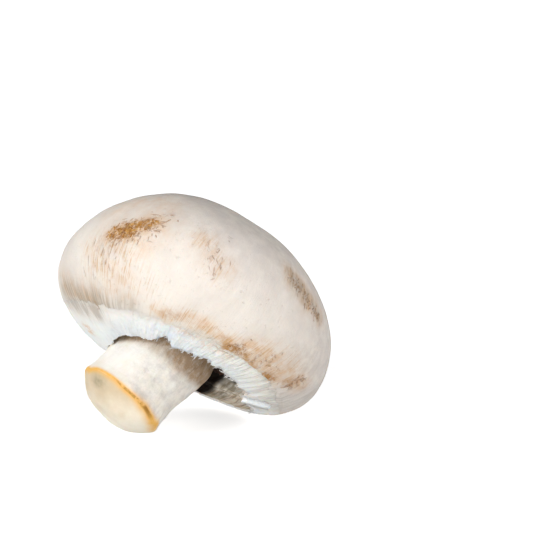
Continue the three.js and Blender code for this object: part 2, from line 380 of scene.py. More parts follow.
# Cap
capSettings = {
    "columns": 480,
    "domeRows": 96,
    "marginRows": 44,
    "wallRows": 16,
    "lumps": 0.2,  # mm
    "fibres": 0.03,
    "scales": 0.1,
    "folds": 0.5,
    "skinReach": 2.4,  # degrees that the skin reaches over the veil
    "skinReachMore": (3.5, 34, 22),  # more degrees, round this bearing, this wide
    "lipRagged": 1.3,
    "warm": "f1e9df",
    "grey": "e5dcd3",
    # painted shade: the grey that darkens the cap's shaded right and lower edges
    "shadeGrey": "d3cac4",
    "pale": "ece8e2",
    "tan": "dfa968",
    "golden": "bd7a28",
    "honey": "dba452",
    "rust": "b67d33",
    # greyish brown of dark patches, also used as painted shade on the lower right
    "sootAndShadeTone": "a3917c",
    "brown": "c99440",
    "dark": "6e4416",
    # painted shade in the grooves of the combed part
    "grooveShade": "a8a097",
    "tissue": "f2eadc",
    "tissueDark": "b5a78e",
    # painted shade: near-black for the deep inside, where no light reaches
    "hollowShade": "2c241d",
    "roughness": 0.5,
    "softness": 0.22,  # share of the light that goes through the surface
    "softReach": 2.0,  # mm
    "bump": (0.14, 0.8),  # depth in mm, strength
    "innerGlow": 0.16,  # painted light: how strongly the inside glows
    "fibreSize": (0.11, 0.04, 0.02),  # half the width, rise and sunk depth, mm
    "fibreWidths": (0.4, 0.9, 1.0, 0.95, 0.7, 0.3),  # shares of those along a fibre
    "fibreRises": (0.3, 0.9, 1.0, 1.0, 0.9, 0.5),
    "fibreFades": (0.3, 0.85, 1.0, 1.0, 0.8, 0.3),
    "socket": [(4.0, 6.9), (8.1, 6.9), (8.5, 4.6), (10.2, 4.45), (12, 4.2), (14, 3.65), (16, 2.9),
               (18, 1.85), (20, 0.6)],  # radius and height of the hidden side, mm
}
# Marks on the skin: from direction, to direction, reach in mm, strength
capMarks = {
    "scaly": [
        (91.5, 275.5, 87, 282.5, 1.4, 1.0), (87, 282.5, 79.5, 289.5, 1.4, 1.0), (92, 280, 90, 285, 1.0, 0.6),
        (94, 121, 88, 129, 1.5, 0.9)],
    "streaky": [
        (104, 267, 104, 286, 2.8, 0.9), (113, 269, 111, 288, 2.4, 0.75), (124, 281, 118, 301, 2.4, 0.5),
        (76, 311, 86, 322, 2.2, 0.55), (129, 309, 126, 330, 1.8, 0.75), (124, 323, 120, 352, 2.0, 1.0),
        (118, 356, 113, 374, 2.6, 0.9), (112, 380, 104, 390, 1.9, 0.7), (108, 2, 104, 14, 2.4, 0.5),
        (122, 230, 134, 275, 2.4, 0.5), (61, 350, 67, 375, 2.0, 0.5), (117, 60, 114, 190, 3.0, 0.6),
        (84, 148, 93, 186, 2.6, 0.7), (70, 205, 82, 222, 2.2, 0.5), (98, 78, 104, 112, 2.6, 0.6)],
    "stained": [
        (97, 277, 78, 292, 3.6, 0.45), (106, 268, 124, 290, 4.0, 0.3), (122, 236, 133, 264, 2.4, 0.5),
        (88, 292, 95, 292, 2.2, 0.4), (130, 309, 125, 326, 1.7, 0.55), (124, 323, 124, 325, 1.2, 0.7),
        (124, 330, 122, 352, 1.8, 0.85), (123, 345, 122, 350, 1.4, 1.0), (119, 356, 114, 372, 2.8, 0.75),
        (119, 370, 118, 375, 1.3, 1.0), (113, 379, 107, 388, 1.9, 0.75), (105, 384, 102, 383, 1.0, 0.6),
        (121, 350, 119, 362, 1.6, 0.6), (111, 366, 108, 376, 2.2, 0.5), (59, 351, 67, 375, 1.8, 0.65),
        (77, 311, 85, 322, 2.4, 0.4), (115, 353, 111, 362, 2.0, 0.6), (73, 262, 62, 284, 3.2, 0.4),
        (64, 353, 69, 364, 1.8, 0.5), (95, 115, 86, 133, 3.6, 0.5), (118, 60, 116, 190, 2.6, 0.4),
        (82, 150, 90, 184, 3.0, 0.45), (36, 95, 48, 130, 3.0, 0.35), (66, 205, 78, 220, 2.6, 0.4)],
    # Dark greyish brown patches, partly real and partly painted shade on the cap's lower right edge (bearings
    # 10 to 43)
    "sooty": [
        (123, 230, 134, 268, 2.8, 0.95), (137, 262, 132, 295, 1.8, 0.55), (59, 351, 67, 375, 1.5, 0.75),
        (64, 353, 68, 362, 1.6, 0.6), (107, 10, 88, 22, 4.5, 0.2), (123, 36, 109, 43, 4.5, 0.45),
        (128, 90, 126, 170, 2.4, 0.5)],
    # Painted shade: a grey wash over the cap's shaded right and lower edges
    "cooled": [
        (62, 318, 52, 350, 9.0, 0.7), (40, 290, 50, 20, 8.0, 0.5), (102, 28, 110, 45, 7.0, 0.9),
        (75, 25, 90, 45, 8.0, 0.8)],
    "combed": [(124, 5, 112, 42, 3.0, 0.9), (127, 320, 123, 350, 1.2, 0.5)],
    "spotted": [
        (124, 346, 122.5, 349, 0.95, 1.0), (119.5, 371, 118.5, 374, 0.95, 1.0),
        (129, 311, 128.5, 313, 0.8, 0.4), (127, 316, 126.5, 318, 0.8, 0.4),
        (122, 357, 121, 363, 1.0, 0.6), (120, 351, 119.5, 355, 0.6, 0.6),
        (112, 381, 110, 384, 0.9, 0.6), (104, 383, 103, 384, 0.7, 0.6), (121, 340, 120, 342, 0.6, 0.4),
        (116, 100, 114, 104, 1.2, 0.7), (110, 160, 108, 165, 1.0, 0.6)],
}
# Loose fibres of the skin: from, to, spread in mm, count, length in mm,
# turn from the growth and its spread in degrees, darkness, strength
fibreGroups = [
    (92, 275.5, 87, 282.5, 1.0, 60, 0.75, -25, 40, 0.3, 0.8),
    (87, 282.5, 79.5, 290, 1.3, 84, 0.75, -25, 40, 0.25, 0.65),
    (92, 280, 89, 287, 0.8, 26, 0.6, -10, 40, 0.25, 0.6),
    (78, 290, 71, 293, 1.1, 20, 0.9, -60, 20, 0.15, 0.5),
    (87, 289, 82, 294, 0.9, 12, 0.8, 60, 30, 0.15, 0.5),
    (103, 268, 102, 284, 1.4, 18, 1.3, 0, 10, 0.3, 0.4),
    (112, 269, 109, 287, 1.4, 12, 1.2, 0, 10, 0.3, 0.35),
    (76, 311, 86, 322, 1.3, 16, 0.9, 20, 35, 0.05, 0.4),
    (80, 314, 82, 320, 0.7, 6, 0.7, 30, 30, 0.6, 0.5),
    (65, 316, 67, 319, 0.2, 3, 1.0, 60, 8, 0.9, 0.3),
    (60, 351, 63, 358, 0.75, 40, 0.7, 0, 22, 0.35, 0.5),
    (63, 358, 67, 374, 0.85, 90, 0.7, 0, 22, 0.45, 0.55),
    (65, 369, 67, 375, 0.35, 14, 0.7, 0, 20, 0.9, 0.75),
    (122, 345, 120, 353, 0.7, 40, 0.6, 20, 45, 0.05, 0.4),
    (119, 355, 114, 372, 1.2, 46, 0.6, 30, 50, 0.1, 0.4),
    (119, 371, 118, 375, 0.4, 16, 0.5, 30, 50, 0.2, 0.5),
    (112, 379, 108, 388, 0.8, 30, 0.7, 10, 30, 0.25, 0.4),
    (104, 383, 100, 386, 0.6, 14, 0.6, 0, 30, 0.35, 0.45),
    (93, 121, 88, 129, 1.1, 120, 0.65, 20, 38, 0.4, 0.85),
    (108, 70, 106, 200, 3.0, 40, 1.2, 0, 12, 0.25, 0.35),
    (83, 150, 91, 184, 1.6, 46, 0.9, 10, 30, 0.2, 0.5),
    (68, 206, 78, 219, 1.2, 24, 0.8, 20, 30, 0.25, 0.5),
    (38, 98, 47, 127, 1.3, 18, 0.8, 40, 40, 0.1, 0.4),
]


def marked(points, marks):  # 0 to 1, near the named marks
    left = np.ones(points.shape[:-1])
    for down, bearing, downEnd, bearingEnd, reach, strength in marks:
        a, b = onCap(down, bearing), onCap(downEnd, bearingEnd)
        share = np.clip(((points - a) @ (b - a)) / ((b - a) @ (b - a)), 0, 1)
        distance = np.linalg.norm(points - a - share[..., None] * (b - a), axis=-1)
        left *= 1 - strength * hill(distance / reach)
    return 1 - left


def allMarked(points, groups):
    return {name: marked(points, marks) for name, marks in groups.items()}


def capLook():
    look = Look("capSkin", capSettings)
    at, along = look.places()
    scaly, streaky, stained, combed, inside = look.fields("scaly", "streaky", "stained", "combed", "inside")
    patchy = at.noise(0.55, 4, 0.6)
    combing = look.field("combing")  # none at the crown, where the threads would meet in a star
    thread = 0.5 + combing * (along.threads(1.5, 0.16, 4, 0.6) - 0.5)
    wisp = 0.5 + combing * (along.threads(4.6, 0.45, 3, 0.6) - 0.5)
    colour = look.mix("warm", "grey", at.noise(0.09, 3, 0.55).above(0.35, 0.68))
    # painted shade: grey wash over the shaded edges
    colour = colour.to("shadeGrey", look.field("cooled") * patchy.above(0.2, 0.8)) * (0.955 + 0.09 * thread)
    wash = stained * (0.3 + patchy.above(0.3, 0.72))
    colour = colour.to("tan", (0.62 * wash).upTo(0.85))
    # dark greyish brown patches, partly painted shade on the lower right edge
    sooty = look.field("sooty") * (0.3 + thread.above(0.3, 0.7))
    colour = colour.to("sootAndShadeTone", (0.75 * sooty).upTo(0.8))
    stroke = (along * (3.4, 3.4, 0.24) + 3.0).noise(1.0, 3, 0.55, 0.6)
    lines = streaky * stroke.above(0.48, 0.39) * patchy.above(0.25, 0.6)
    colour = colour.to("brown", (0.7 * lines).upTo(0.75))
    # painted shade: darker lines in the grooves of the combed part
    grooves = along.threads(3.2, 0.2, 3, 0.6, 0.2).above(0.48, 0.36)
    colour = colour.to("pale", 0.5 * combed * patchy.above(0.2, 0.5)).to("grooveShade", 0.55 * combed * grooves)
    spot = look.field("spotted") * (0.6 + at.noise(1.1, 4, 0.7).above(0.35, 0.6))
    colour = colour.to("rust", (0.7 * spot).upTo(0.85))
    blotch = at.noise(1.6, 4, 0.72, 0.6)
    peeled = (scaly * 0.95 + 4.6 * (blotch - 0.5)).above(0.45, 1.1)
    colour = colour.to("tan", (0.75 * scaly).upTo(0.5))
    gold = look.mix("honey", "golden", (at + 3.0).noise(1.2, 3, 0.6).above(0.38, 0.6))
    colour = colour.to(gold, 0.9 * (peeled * scaly.above(0.05, 0.4)))
    deep = (along * (1.9, 1.9, 1.2) + 9.0).noise(1.0, 4, 0.7, 0.7).above(0.52, 0.64)
    colour = colour.to("dark", 0.6 * (peeled * deep * scaly.above(0.1, 0.5)))
    near = (scaly + 0.7 * stained + 0.5 * streaky).upTo(1.0)
    colour = colour.to(look.mix("golden", "dark", look.field("tone")), look.field("fibre"))
    wall = look.mix("tissue", "tissueDark", along.threads(0.7, 0.25, 5, 0.65).above(0.4, 0.66))
    # painted shade: the inside turns near-black where it lies deep in shade
    wall = wall.to("hollowShade", look.field("deep"))
    # painted light: the lower inside glows as if lit
    look.glow(wall, inside * look.field("lit"))
    height = 0.5 * wisp + 0.3 * at.noise(2.4, 4, 0.65) + 0.9 * (peeled * blotch) + 0.7 * (near * wisp)
    return look.finish(colour.to(wall, inside), 0.16 * thread + 0.15 * peeled, height)


def stemShadow(bearing):  # where the stem keeps the light from the inside
    turn = np.degrees(bearing)
    return smooth(turn, 103, 108) * smooth(turn, 260, 200)


# how strongly the inside glows, as painted light
def innerLight(bearing):
    return (1 - stemShadow(bearing)) * blend(1.9, 0.6, smooth(np.degrees(bearing), 88, 104))


def outwardsAt(down, bearing):
    here = onCap(down, bearing)
    up = unit(np.cross(onCap(down + 0.2, bearing) - here, onCap(down, bearing + 0.2) - here))
    return np.where(np.sum(up * here, -1, keepdims=True) < 0, -up, up)


def skinEdge(bearing):  # where the skin's ragged edge ends over the veil
    s = capSettings
    ragged = s["lipRagged"] * cloud(grain(bearing, 0.0), 1.6, 5, 3)
    more, middle, width = s["skinReachMore"]
    return lipAngle(bearing) + s["skinReach"] + ragged + more * hill(fromBearing(bearing, middle) / width)


def skinLift(points, scaly):
    s = capSettings
    crumbs = smooth(cloud(points, 1.3, 3, 3), -0.1, 0.7)
    return s["lumps"] * cloud(points, 9.0, 1, 3) + s["scales"] * scaly * crumbs


def skinFibres():
    s = capSettings
    draw = np.random.default_rng(12)
    steps = len(s["fibreWidths"])
    degree = math.radians(1)
    groups = []
    for *ends, spread, count, length, turn, turnSpread, darkness, strength in fibreGroups:
        share = draw.uniform(-0.05, 1.05, count)
        down, bearing = blend(ends[0], ends[2], share), blend(ends[1], ends[3], share)
        heading = np.radians(draw.normal(turn, turnSpread, count))
        curl = draw.normal(0, 0.4, count) / steps
        long = length * draw.uniform(0.5, 1.5, count) / (steps - 1)
        downs, bearings = [], []
        for k in range(steps):
            wide, turned = form["capRadius"], np.radians(down)
            depth = np.where(down < 90, form["domeHeight"], form["undersideDepth"])
            perDown = degree * np.hypot(wide * np.cos(turned), depth * np.sin(turned))
            perBearing = degree * wide * np.sin(turned)
            if k == 0:
                moved = draw.normal(0, spread, (2, count))
            else:
                moved = long * np.stack([np.cos(heading), np.sin(heading)])
            down, bearing = down + moved[0] / perDown, bearing + moved[1] / perBearing
            heading = heading + curl + draw.normal(0, 0.1, count)
            downs.append(down)
            bearings.append(bearing)
        tone = np.clip(draw.normal(darkness, 0.3 * math.sqrt(darkness), count), 0, 1)
        power = strength * draw.uniform(0.55, 1.15, count)
        groups.append((np.stack(downs, 1), np.stack(bearings, 1), tone[:, None], power[:, None]))
    down, bearing, tone, power = (np.concatenate(parts) for parts in zip(*groups))
    path, normal = onCap(down, bearing), outwardsAt(down, bearing)
    path = path + normal * skinLift(path, marked(path, capMarks["scaly"]))[..., None]
    flat = np.ones(path.shape[:2])
    size = flat * draw.uniform(0.7, 1.3, len(path))[:, None]
    halfWidth, rise, sunk = s["fibreSize"]
    halves = np.array(s["fibreWidths"]) * halfWidth * size
    rises = np.array(s["fibreRises"]) * rise * size
    edge = 90 + skinEdge(np.radians(bearing))
    kept = np.all(down < edge - 1.5, axis=1)  # none beyond the skin's edge
    points, faces = fibres(path[kept], normal[kept], halves[kept], sunk * flat[kept], rises[kept])
    fields = {"upright": path, "grain": grain(np.radians(bearing), 0.4 * down), "tone": flat * tone}
    fields |= dict.fromkeys(("inside", "deep", "lit"), 0 * flat) | {"combing": flat}
    fields["fibre"] = np.minimum(np.array(s["fibreFades"]) * power, 1)
    fields |= allMarked(path, capMarks)
    return points, faces, tripled({name: values[kept] for name, values in fields.items()})


def makeCap():
    s = capSettings
    bearing = allRound(s["columns"])
    lip = lipAngle(bearing)
    edge = skinEdge(bearing)
    flat = np.ones_like(bearing)
    rows = [upright(flat * radius, flat * height, bearing) for radius, height in s["socket"]]
    for share in np.linspace(0, 0.88, s["wallRows"]):
        rows.append(upright(*underside(lip * share, 0.85 + 0.02 * share), bearing))
    wallEnd = len(rows)
    for thickness in (0.9, 0.965):
        rows.append(upright(*underside(lip * 0.88, thickness), bearing))
    for back, thickness in ((1.5, 0.977), (0.2, 0.981), (0.0, 0.984)):
        rows.append(upright(*underside(edge - back, thickness), bearing))
    first = len(rows)
    for share in np.linspace(1, 0, s["marginRows"], endpoint=False):
        feather = 0.013 * smooth(share, 0.93, 1.0)
        rows.append(upright(*underside((edge - 0.25) * share, 1.0 - feather), bearing))
    for rise in np.linspace(0, math.pi / 2, s["domeRows"] + 1)[:-1]:
        radius, height = form["capRadius"] * math.cos(rise), form["domeHeight"] * math.sin(rise)
        rows.append(upright(flat * radius, flat * height, bearing))
    points = np.stack(rows)
    steps = np.linalg.norm(np.diff(points, axis=0), axis=-1)
    fromStart = np.concatenate([np.zeros((1, steps.shape[1])), np.cumsum(steps, 0)])
    fromCrown = fromStart[-1:] - fromStart
    around = np.broadcast_to(bearing, fromCrown.shape)
    fields = {"upright": points, "grain": grain(around, fromCrown), "inside": 0 * fromCrown}
    fields["inside"][:first - 2] = 1
    fields |= allMarked(points, capMarks)
    # painted shade: the inside darkens higher up towards the gills and where the stem keeps the light out;
    # painted light: the lower inside glows
    above = smooth(points[..., 2] + 0.5 * cloud(fields["grain"] * (1, 1, 0.3), 2.0, 8, 2), -2.8, -1.6)
    fields["deep"] = np.maximum(above, stemShadow(around))
    fields["lit"] = (1 - above) * innerLight(around) * smooth(points[..., 2], 0, -3)
    fields["combing"] = smooth(fromCrown, 8, 26)
    fields["fibre"] = fields["tone"] = 0 * fromCrown
    skin, wall = 0 * fromCrown, 0 * fromCrown
    skin[first:] = smooth(fromCrown[first:], 0.3, 3)
    wall[wallEnd - s["wallRows"] + 2:wallEnd] = 1
    comb = s["fibres"] * fields["combing"] * (1 + 3 * fields["combed"])
    lift = skinLift(points, fields["scaly"]) + comb * cloud(fields["grain"] * (1, 1, 0.12), 1.1, 2, 2)
    folds = cloud(fields["grain"] * (1, 1, 0.25) + points * 0.15, 1.9, 6, 3)
    lift = lift * skin + s["folds"] * wall * (0.5 + folds)
    points = points + gridNormals(points, -20) * lift[..., None]
    poles = (upright(np.array(0.0), np.array(s["socket"][0][1]), np.array(0.0)), points[-1].mean(0))
    ringPiece("capSkin", points, fields, capLook(), "cap", poles, skinFibres())


# Veil
veilSettings = {
    "columns": 760,
    "steps": 36,
    "tuck": 2.0,  # degrees that its root reaches behind the lip
    "rootShare": 0.128,
    "edgeShare": 0.03,
    "sag": 0.03,
    "tearRadius": 15.1,
    "tearOffset": 5.0,
    "tearBearing": 52,
    "stemGap": 0.3,
    "bites": [(2.2, 317, 5), (-2.5, 233, 30), (-0.9, 8, 14), (-1.7, 36, 16)],  # mm, bearing, width in degrees
    "teeth": [(17, 0.09, 3), (29, 0.1, 11), (41, 0.08, 5)],
    "ragged": 0.26,
    "wrinkles": 0.11,
    "cotton": 0.06,
    "folds": 0.45,
    "shreds": 200,
    "shredLength": 0.6,
    "shredsFrom": -50,  # bearings
    "shredsTo": 70,
    "white": "faf7f2",
    "blue": "e6eef4",
    "bright": "fbf6ee",
    "flaps": [((138, 28.5), (127.5, 37), 0.85)],  # from and to as directions, half width in mm
    "flapLean": (0.35, -0.9, -0.4),
    "flapWhite": "fffdf8",
    # painted shade in the combed grooves
    "grooveShade": "b5b0a8",
    "skin": "e9dfd3",
    # dark greyish brown, partly painted shade on the lower right
    "sootAndShadeTone": "b9aea1",
    "tan": "dfb084",
    "inner": "eee5d6",
    "innerDark": "b3a58d",
    # painted shade: near-black for the deep inside
    "hollowShade": "2c241d",
    "roughness": 0.66,
    "softness": 0.5,
    "softReach": 2.4,
    "bump": (0.2, 0.9),
    # painted light: how strongly the inside glows
    "innerGlow": 0.15,
    "underSkin": 0.022,  # how far it steps in under the skin, as a share
    "gap": 0.0065,
    "curl": 0.01,
    "shredWidths": (1.0, 1.0, 0.85, 0.6, 0.4, 0.15),
    "shredSize": (0.11, 0.04),  # half the width and half the height, mm
    "flapWidths": (0.75, 0.95, 0.9, 1.0, 0.95, 0.8),
    "flapSize": (0.25, 0.05),  # sunk depth and rise, mm
}
veilMarks = {
    # Dark greyish brown patches, partly painted shade on the lower right (bearings 20 to 45)
    "sooty": [(128, 226, 141, 262, 2.2, 0.8), (118, 20, 116, 45, 3.5, 0.45)],
    "stained": [
        (147, 226, 148.5, 231, 1.2, 0.9), (131, 312, 127, 350, 1.2, 0.35), (137, 16, 135, 25, 0.6, 0.9)],
    "cold": [(136, 316, 132, 350, 2.8, 0.9), (130, 352, 128, 362, 2.0, 0.5)],
    "combed": [(131, 340, 124, 362, 4.0, 0.6), (122, 362, 116, 405, 6.0, 1.0)],
}


def stemReach(bearing):  # how far from the cap's axis the stem stands at the tear
    around = np.radians(np.arange(0, 360, 3.0))
    ring = stemPoint(np.full(around.shape, 7.85), np.full(around.shape, 8.3), around)
    angle = np.arctan2(ring[:, 1], ring[:, 0])
    return np.interp(bearing, angle, np.hypot(ring[:, 0], ring[:, 1]), period=2 * math.pi)


def tearRadius(bearing):
    s = veilSettings
    turn = bearing - math.radians(s["tearBearing"])
    aside = s["tearOffset"] * np.sin(turn)
    hole = s["tearOffset"] * np.cos(turn) + np.sqrt(s["tearRadius"] ** 2 - aside**2)
    for depth, middle, width in s["bites"]:
        hole = hole + depth * hill(fromBearing(bearing, middle) / width)
    calm = 0.35 + 0.65 * smooth(facing(bearing, 20), -0.3, 0.5)
    ragged = s["ragged"] * cloud(grain(bearing, 0.0), 1.7, 11, 4)
    hole = hole + calm * (waves(s["teeth"], bearing) + ragged)
    return np.maximum(hole, stemReach(bearing) + s["stemGap"])


def veilLook():
    look = Look("veil", veilSettings)
    at, along = look.places()
    inner, tear, combed = look.fields("inner", "tear", "combed")
    cotton = at.noise(1.3, 5, 0.65)
    pull = along.threads(1.5, 0.2, 4, 0.6, 0.3)
    comb = along.threads(3.2, 0.2, 3, 0.6, 0.2)
    colour = look.mix("white", "blue", look.field("cold") * at.noise(0.3, 4, 0.6).above(0.3, 0.6))
    skin = (1.0 - tear.above(0.05, 0.45)) * (0.5 + pull).upTo(1.0)
    colour = colour.to("bright", combed).to("skin", skin) * (0.93 + 0.12 * pull)
    # painted shade: darker lines in the combed grooves
    colour = colour.to("grooveShade", 0.5 * combed * comb.above(0.48, 0.36))
    # dark greyish brown patches, partly painted shade on the lower right
    colour = colour.to("sootAndShadeTone", (look.field("sooty") * (0.35 + pull.above(0.35, 0.65))).upTo(0.8))
    stained = look.field("stained") * cotton.above(0.35, 0.6)
    colour = colour.to("tan", stained).to("flapWhite", look.field("torn"))
    innerShaded = look.mix("inner", "innerDark", along.threads(0.9, 0.3, 5, 0.65).above(0.4, 0.68))
    # painted shade: the inside turns near-black where it lies deep in shade
    innerShaded = innerShaded.to("hollowShade", look.field("deep"))
    # painted light: the inside glows as if lit
    look.glow(innerShaded, inner * look.field("lit"))
    colour = colour.to(innerShaded, (inner * (1.0 - 0.6 * tear.above(0.9, 1.0))).upTo(1.0))
    return look.finish(colour, 0.2 * cotton, 0.6 * cotton + 0.9 * pull + combed * comb)


def flap(start, end, halfWidth):  # a torn white scrap that lies on the veil
    s = veilSettings
    share = np.linspace(0, 1, len(s["flapWidths"]))[None, :]
    down, bearing = blend(start[0], end[0], share), blend(start[1], end[1], share)
    line = upright(*underside(down - 90, blend(1.0, 1.03, share)), np.radians(bearing))
    normal = unit(outwardsAt(down, bearing) + s["flapLean"])
    half = halfWidth * np.array([s["flapWidths"]])
    sunk, rise = s["flapSize"]
    points, faces = fibres(line, normal, half, sunk + 0 * share, rise + 0 * share)
    return line, points, faces


def tornShreds(points):  # short loose threads on the torn edge
    s = veilSettings
    draw = np.random.default_rng(8)
    count = s["shreds"]
    rim = points[s["steps"]]
    column = draw.uniform(s["shredsFrom"], s["shredsTo"], count) / 360 * s["columns"]
    column = column.astype(int) % s["columns"]
    along = unit(points[s["steps"] - 1] - points[s["steps"] - 4])
    around = unit(np.roll(rim, -1, 0) - np.roll(rim, 1, 0))
    outwards = np.cross(around, along)
    outwards[np.einsum("ij,ij->i", outwards, rim) < 0] *= -1
    along, around, outwards, rim = along[column], around[column], outwards[column], rim[column]
    heading = draw.normal(0, 0.6, count)[:, None]
    way = np.cos(heading) * along + np.sin(heading) * around + draw.normal(0, 0.35, count)[:, None] * outwards
    length = s["shredLength"] * draw.uniform(0.4, 1.5, count)
    share = np.linspace(-0.35, 1, len(s["shredWidths"]))
    path = rim[:, None] + way[:, None] * (share[None, :] * length[:, None])[..., None]
    path += (draw.normal(0, 0.25, count)[:, None] * share**2)[..., None] * around[:, None]
    normal = np.broadcast_to(outwards[:, None], path.shape)
    flat = np.ones(path.shape[:2])
    halfWidth, halfHeight = s["shredSize"]
    half = np.array(s["shredWidths"]) * halfWidth * draw.uniform(0.5, 1.5, count)[:, None]
    extra, faces = fibres(path, normal, half, halfHeight * flat, halfHeight * flat)
    for line, corners, more in [flap(*item) for item in s["flaps"]]:
        faces += [tuple(corner + len(extra) for corner in face) for face in more]
        extra = np.concatenate([extra, corners])
        path = np.concatenate([path, line])
    flat = np.ones(path.shape[:2])
    fields = {"upright": path, "grain": path, "tear": flat}
    fields |= dict.fromkeys(("inner", "deep", "lit"), 0 * flat)
    fields["torn"] = np.where(np.arange(len(flat))[:, None] < count, 0, flat)
    return extra, faces, tripled(fields | allMarked(path, veilMarks))


def makeVeil():
    s = veilSettings
    bearing = allRound(s["columns"])
    rootAngle = lipAngle(bearing) - s["tuck"]
    width = 1 + waves(form["widthWaves"], bearing)
    edgeAngle = np.degrees(np.arccos(tearRadius(bearing) / width / form["capRadius"]))
    skinEnd = skinEdge(bearing)
    track = [(t, 1.0) for t in np.linspace(0, 1, s["steps"])]  # root to edge, and how far on the outer face
    track += [(1.004, 0.82), (1.007, 0.5), (1.004, 0.18)]
    track += [(t, 0.0) for t in np.linspace(1, 0, s["steps"] // 2)]
    curl = s["curl"] * cloud(grain(bearing, 3.0), 5.0, 21, 2)
    out, face = np.array(track).T[..., None]
    angle = blend(rootAngle, edgeAngle, out)
    thickness = blend(s["rootShare"], s["edgeShare"], out**0.7)
    under = s["underSkin"] * (1 - smooth(angle, skinEnd - 4.5, skinEnd - 1.6)) + s["gap"]
    share = 1 - s["sag"] * out**2 - (1 - face) * thickness - under * face + curl * out**4
    points = upright(*underside(angle, share), bearing)
    around = np.broadcast_to(bearing, points.shape[:2])
    inner, tear = 1 - face + 0 * around, np.minimum(out, 1) + 0 * around
    length = np.linalg.norm(points[s["steps"] - 1] - points[0], axis=-1)
    along = grain(around, tear * length[None, :])
    fields = {"upright": points, "inner": inner, "tear": tear, "grain": along, "torn": 0 * around}
    # painted shade where the stem keeps the light out, and painted light elsewhere on the inside
    fields |= {"deep": stemShadow(around), "lit": innerLight(around)}
    fields |= allMarked(points, veilMarks)
    outer, combed = 1 - inner, fields["combed"]
    wrinkles = s["wrinkles"] * (1 - 0.6 * combed) * cloud(along * (1, 1, 0.16), 0.9, 31, 3)
    fine = 0.5 * s["wrinkles"] * combed * cloud(along * (1, 1, 0.2), 0.5, 35, 2)
    folding = 0.5 + cloud(along * (1, 1, 0.3) + points * 0.15, 1.7, 34, 3)
    lift = (wrinkles + fine) * outer + s["cotton"] * cloud(points, 0.7, 32, 2)
    lift += s["folds"] * inner * (1 - tear**2) * np.maximum(folding, 0)
    lift += 0.1 * outer * smooth(tear, 0.8, 1.0) * cloud(points, 1.1, 33, 2)
    swell = capSettings["lumps"] * cloud(points, 9.0, 1, 3) * outer
    lift = smooth(tear, 0.04, 0.3) * lift + swell
    points = points + gridNormals(points, s["steps"] // 2) * lift[..., None]
    ringPiece("veilRing", points, fields, veilLook(), "veil", loose=tornShreds(points))


# Gills
gillSettings = {
    "count": 150,  # full ones, with a short one between each two
    "thickness": 0.2,
    "innerRadius": 9.9,
    "outerRadius": 19.9,
    "shortInner": 14.2,
    "acrossSteps": 14,
    "downSteps": 4,
    "ceiling": [(8.5, 12, 16, 20), (4.6, 4.2, 2.9, 0.6)],  # radius and height of the cap's hollow, mm
    "edge": [(0, 0.12, 0.5, 0.85, 1), (1.9, 0.2, -2.1, -2.5, -0.8)],  # share from inside, height, mm
    "bedTop": 0.35,
    "bedThickness": 0.9,
    "bedColumns": 180,
    # painted shade: dark brown, darker than the gills' own pinkish brown
    "pink": "54392e",
    "dark": "2f211a",
    "roughness": 0.68,
    "softness": 0.15,
    "softReach": 1.0,
    "bump": (0.12, 0.7),
}


def bedHeight(radius):  # top of the bed that joins the gills
    return np.interp(radius, *gillSettings["ceiling"]) - gillSettings["bedTop"]


def gillLook():
    look = Look("gills", gillSettings)
    at = look.field("upright", wide=True)
    mottled = at.noise(0.5, 4, 0.6)
    # painted shade: the blades darken towards their roots, between the blades
    colour = look.mix("dark", "pink", mottled.above(0.3, 0.7)) * (0.8 + 0.35 * look.field("edge"))
    return look.finish(colour, 0.2 * mottled, (at * (1.0, 1.0, 3.0)).noise(1.5, 3, 0.6))


def makeGills():
    s = gillSettings
    count = 2 * s["count"]
    draw = np.random.default_rng(4)
    across, columns = s["acrossSteps"], 2 * s["downSteps"]
    last = (across - 1) * columns
    down = np.linspace(0, 1, s["downSteps"])[None, :]
    allPoints, faces = [], []
    for i in range(count):
        inner = s["shortInner"] + draw.uniform(-1.2, 1.5) if i % 2 else s["innerRadius"]
        radius = np.linspace(inner, s["outerRadius"], across)[:, None]
        share = (radius - inner) / (s["outerRadius"] - inner)
        top = bedHeight(radius) - s["bedThickness"] / 2
        lower = np.interp(share, *s["edge"]) + draw.uniform(-0.15, 0.15)
        if i % 2:
            lower = lower + 0.5 * (1 - share)
        height = blend(top, np.minimum(lower, top - 0.2), down)
        middle = (i + 0.5 + draw.uniform(-0.12, 0.12)) * 2 * math.pi / count
        lean = draw.uniform(-0.25, 0.25) + 0.12 * np.sin(radius * 1.1 + draw.uniform(0, 6))
        sheets = []
        for side in (-1, 1):
            half = side * s["thickness"] / 2 * (1 - 0.5 * down)
            aside = (lean * down + half) / radius
            sheet = upright(np.broadcast_to(radius, height.shape), height, middle + aside)
            sheets.append(sheet[:, ::-side])  # down one side, up the other
        allPoints.append(np.concatenate(sheets, 1).reshape(-1, 3))
        first = i * across * columns
        faces += gridFaces(across, columns, first, closeRows=False)
        for d in range(s["downSteps"] - 1):
            a, b = first + d, first + columns - 1 - d
            faces += [(a, b, b - 1, a + 1), (a + 1 + last, b - 1 + last, b + last, a + last)]
    edges = np.tile(np.concatenate([down, down[:, ::-1]], 1).ravel(), count * across)
    bearing = allRound(s["bedColumns"])
    radii = np.linspace(s["innerRadius"], s["outerRadius"], 9)
    flat = np.ones_like(bearing)
    bed = [upright(flat * r, flat * bedHeight(r), bearing) for r in radii]
    bed += [upright(flat * r, flat * (bedHeight(r) - s["bedThickness"]), bearing) for r in radii[::-1]]
    faces += gridFaces(len(bed), len(bearing), len(edges), closeRows=True)
    points = np.concatenate(allPoints + bed)
    fields = {"upright": points, "edge": np.pad(edges, (0, len(points) - len(edges)))}
    makePiece("gillBlades", points, faces, fields, gillLook(), "gills")


